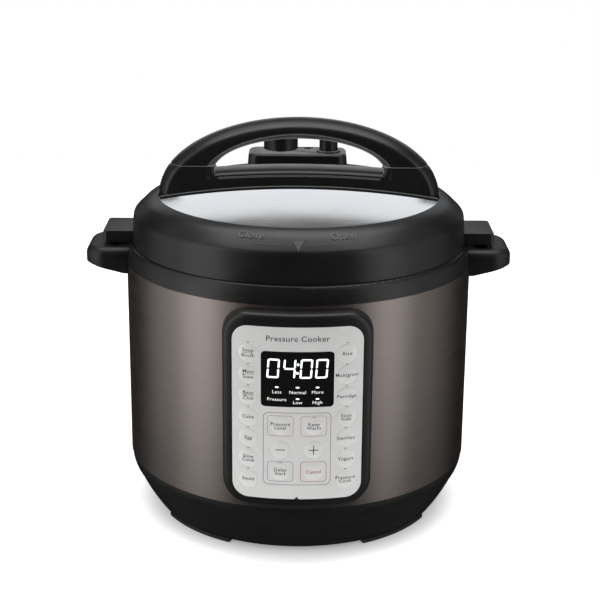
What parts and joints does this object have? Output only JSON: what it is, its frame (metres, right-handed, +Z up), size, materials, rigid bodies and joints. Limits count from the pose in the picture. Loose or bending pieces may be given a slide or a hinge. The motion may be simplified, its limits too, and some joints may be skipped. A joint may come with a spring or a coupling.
{
  "type": "electric pressure cooker",
  "caption": "Round electric pressure cooker with a steel body, black base and lid, arched lid handle, side handles and a silver key panel with a display.",
  "frame": {"origin": "on the worktop under the feet, on the cooker's vertical axis", "axes": "+Z up, -Y towards the user and the control panel, +X towards the right-hand side handle"},
  "size_m": [0.3376, 0.3075, 0.3168],
  "materials": {
    "black_plastic": "satin black, fine grain",
    "bezel_plastic": "satin black with a soft shine",
    "rubber_feet": "matte",
    "gunmetal_steel": "dark tinted, brushed round the body",
    "steel": "satin",
    "plate_aluminium": "cast and turned",
    "zinc_steel": "zinc plated",
    "pin_brass": "nickel-brass, plain",
    "panel_silver": "silver printed film",
    "key_silver": "silver printed film, domed",
    "window_black": "gloss black with lit figures behind",
    "circuit_board": "green solder mask",
    "component_plastic": "moulded",
    "silicone": "translucent white silicone",
    "clear_plastic": "clear moulded plastic"
  },
  "bodies": {
    "housing": {"base_cover": "black_plastic", "foot_pads": "rubber_feet", "base_screws": "zinc_steel", "support_posts": "zinc_steel", "housing_sleeve": "gunmetal_steel", "rim_ring": "black_plastic", "side_handle_left": "black_plastic", "side_handle_right": "black_plastic", "handle_screws": "zinc_steel", "outer_pot": "steel", "heating_plate": "plate_aluminium", "heating_coil": "zinc_steel", "sensor_spring": "zinc_steel", "sensor_bracket": "steel", "pressure_switch": "component_plastic", "power_board": "circuit_board", "power_inlet": "black_plastic", "inlet_pins": "pin_brass", "panel_bezel": "bezel_plastic", "panel_overlay": "panel_silver", "display_window": "window_black", "display_module": "component_plastic", "control_board": "circuit_board", "key_switches": "component_plastic", "cup_bracket": "black_plastic"},
    "seal": {"sealing_ring": "silicone"},
    "lid": {"lid_cover": "black_plastic", "lid_shell": "steel", "handle_base": "black_plastic", "handle_grip": "black_plastic", "valve_housing": "black_plastic", "ring_rack": "steel", "anti_block_shield": "steel", "lid_screws": "zinc_steel"},
    "release_knob": {"steam_release_knob": "black_plastic"},
    "release_button": {"quick_release_button": "black_plastic"},
    "float": {"float_valve": "zinc_steel"},
    "pot": {"inner_pot": "steel"},
    "cup": {"condensation_cup": "clear_plastic"},
    "sensor": {"sensor_cap": "plate_aluminium"},
    "key_soup": {"key_soup": "key_silver"},
    "key_meat": {"key_meat": "key_silver"},
    "key_bean": {"key_bean": "key_silver"},
    "key_cake": {"key_cake": "key_silver"},
    "key_egg": {"key_egg": "key_silver"},
    "key_slow_cook": {"key_slow_cook": "key_silver"},
    "key_saute": {"key_saute": "key_silver"},
    "key_rice": {"key_rice": "key_silver"},
    "key_multigrain": {"key_multigrain": "key_silver"},
    "key_porridge": {"key_porridge": "key_silver"},
    "key_sous_vide": {"key_sous_vide": "key_silver"},
    "key_sterilize": {"key_sterilize": "key_silver"},
    "key_yogurt": {"key_yogurt": "key_silver"},
    "key_pressure_cook": {"key_pressure_cook": "key_silver"},
    "key_pressure_level": {"key_pressure_level": "key_silver"},
    "key_keep_warm": {"key_keep_warm": "key_silver"},
    "key_minus": {"key_minus": "key_silver"},
    "key_plus": {"key_plus": "key_silver"},
    "key_delay_start": {"key_delay_start": "key_silver"},
    "key_cancel": {"key_cancel": "key_silver"}
  },
  "joints": [
    {"name": "lid_lift", "type": "slide", "parent": "housing", "child": "seal", "axis": [0, 0, 1], "range_m": [0, 0.34]},
    {"name": "lid_turn", "type": "hinge", "parent": "seal", "child": "lid", "pos_m": [0, 0, 0.24], "axis": [0, 0, 1], "range_deg": [0, 30]},
    {"name": "pot_lift", "type": "slide", "parent": "housing", "child": "pot", "axis": [0, 0, 1], "range_m": [0, 0.17]},
    {"name": "button_push", "type": "slide", "parent": "lid", "child": "release_button", "axis": [0, 0, -1], "range_m": [0, 0.005], "stiffness_N_per_m": 200, "springref_m": -0.003},
    {"name": "knob_rise", "type": "slide", "parent": "lid", "child": "release_knob", "axis": [0, 0, 1], "range_m": [0, 0.002]},
    {"name": "float_rise", "type": "slide", "parent": "lid", "child": "float", "axis": [0, 0, 1], "range_m": [0, 0.0035]},
    {"name": "cup_slide", "type": "slide", "parent": "housing", "child": "cup", "axis": [0, 1, 0], "range_m": [0, 0.04]},
    {"name": "sensor_push", "type": "slide", "parent": "housing", "child": "sensor", "axis": [0, 0, -1], "range_m": [0, 0.003], "stiffness_N_per_m": 800, "springref_m": -0.004, "deforming": ["sensor_spring"]},
    {"name": "soup_press", "type": "slide", "parent": "housing", "child": "key_soup", "axis": [0.2466, 0.9691, 0], "range_m": [0, 0.0005], "stiffness_N_per_m": 2000, "springref_m": -0.0005},
    {"name": "meat_press", "type": "slide", "parent": "housing", "child": "key_meat", "axis": [0.2466, 0.9691, 0], "range_m": [0, 0.0005], "stiffness_N_per_m": 2000, "springref_m": -0.0005},
    {"name": "bean_press", "type": "slide", "parent": "housing", "child": "key_bean", "axis": [0.2466, 0.9691, 0], "range_m": [0, 0.0005], "stiffness_N_per_m": 2000, "springref_m": -0.0005},
    {"name": "cake_press", "type": "slide", "parent": "housing", "child": "key_cake", "axis": [0.2466, 0.9691, 0], "range_m": [0, 0.0005], "stiffness_N_per_m": 2000, "springref_m": -0.0005},
    {"name": "egg_press", "type": "slide", "parent": "housing", "child": "key_egg", "axis": [0.2466, 0.9691, 0], "range_m": [0, 0.0005], "stiffness_N_per_m": 2000, "springref_m": -0.0005},
    {"name": "slow_cook_press", "type": "slide", "parent": "housing", "child": "key_slow_cook", "axis": [0.2466, 0.9691, 0], "range_m": [0, 0.0005], "stiffness_N_per_m": 2000, "springref_m": -0.0005},
    {"name": "saute_press", "type": "slide", "parent": "housing", "child": "key_saute", "axis": [0.2466, 0.9691, 0], "range_m": [0, 0.0005], "stiffness_N_per_m": 2000, "springref_m": -0.0005},
    {"name": "rice_press", "type": "slide", "parent": "housing", "child": "key_rice", "axis": [-0.2466, 0.9691, 0], "range_m": [0, 0.0005], "stiffness_N_per_m": 2000, "springref_m": -0.0005},
    {"name": "multigrain_press", "type": "slide", "parent": "housing", "child": "key_multigrain", "axis": [-0.2466, 0.9691, 0], "range_m": [0, 0.0005], "stiffness_N_per_m": 2000, "springref_m": -0.0005},
    {"name": "porridge_press", "type": "slide", "parent": "housing", "child": "key_porridge", "axis": [-0.2466, 0.9691, 0], "range_m": [0, 0.0005], "stiffness_N_per_m": 2000, "springref_m": -0.0005},
    {"name": "sous_vide_press", "type": "slide", "parent": "housing", "child": "key_sous_vide", "axis": [-0.2466, 0.9691, 0], "range_m": [0, 0.0005], "stiffness_N_per_m": 2000, "springref_m": -0.0005},
    {"name": "sterilize_press", "type": "slide", "parent": "housing", "child": "key_sterilize", "axis": [-0.2466, 0.9691, 0], "range_m": [0, 0.0005], "stiffness_N_per_m": 2000, "springref_m": -0.0005},
    {"name": "yogurt_press", "type": "slide", "parent": "housing", "child": "key_yogurt", "axis": [-0.2466, 0.9691, 0], "range_m": [0, 0.0005], "stiffness_N_per_m": 2000, "springref_m": -0.0005},
    {"name": "pressure_cook_press", "type": "slide", "parent": "housing", "child": "key_pressure_cook", "axis": [-0.2466, 0.9691, 0], "range_m": [0, 0.0005], "stiffness_N_per_m": 2000, "springref_m": -0.0005},
    {"name": "pressure_level_press", "type": "slide", "parent": "housing", "child": "key_pressure_level", "axis": [0.0842, 0.9964, 0], "range_m": [0, 0.0005], "stiffness_N_per_m": 2000, "springref_m": -0.0005},
    {"name": "keep_warm_press", "type": "slide", "parent": "housing", "child": "key_keep_warm", "axis": [-0.0842, 0.9964, 0], "range_m": [0, 0.0005], "stiffness_N_per_m": 2000, "springref_m": -0.0005},
    {"name": "minus_press", "type": "slide", "parent": "housing", "child": "key_minus", "axis": [0.0842, 0.9964, 0], "range_m": [0, 0.0005], "stiffness_N_per_m": 2000, "springref_m": -0.0005},
    {"name": "plus_press", "type": "slide", "parent": "housing", "child": "key_plus", "axis": [-0.0842, 0.9964, 0], "range_m": [0, 0.0005], "stiffness_N_per_m": 2000, "springref_m": -0.0005},
    {"name": "delay_start_press", "type": "slide", "parent": "housing", "child": "key_delay_start", "axis": [0.0842, 0.9964, 0], "range_m": [0, 0.0005], "stiffness_N_per_m": 2000, "springref_m": -0.0005},
    {"name": "cancel_press", "type": "slide", "parent": "housing", "child": "key_cancel", "axis": [-0.0842, 0.9964, 0], "range_m": [0, 0.0005], "stiffness_N_per_m": 2000, "springref_m": -0.0005}
  ],
  "couplings": [
    {"joint": "pot_lift", "follows": "lid_lift", "ratio": 0.5},
    {"joint": "knob_rise", "follows": "button_push", "ratio": 0.4}
  ]
}
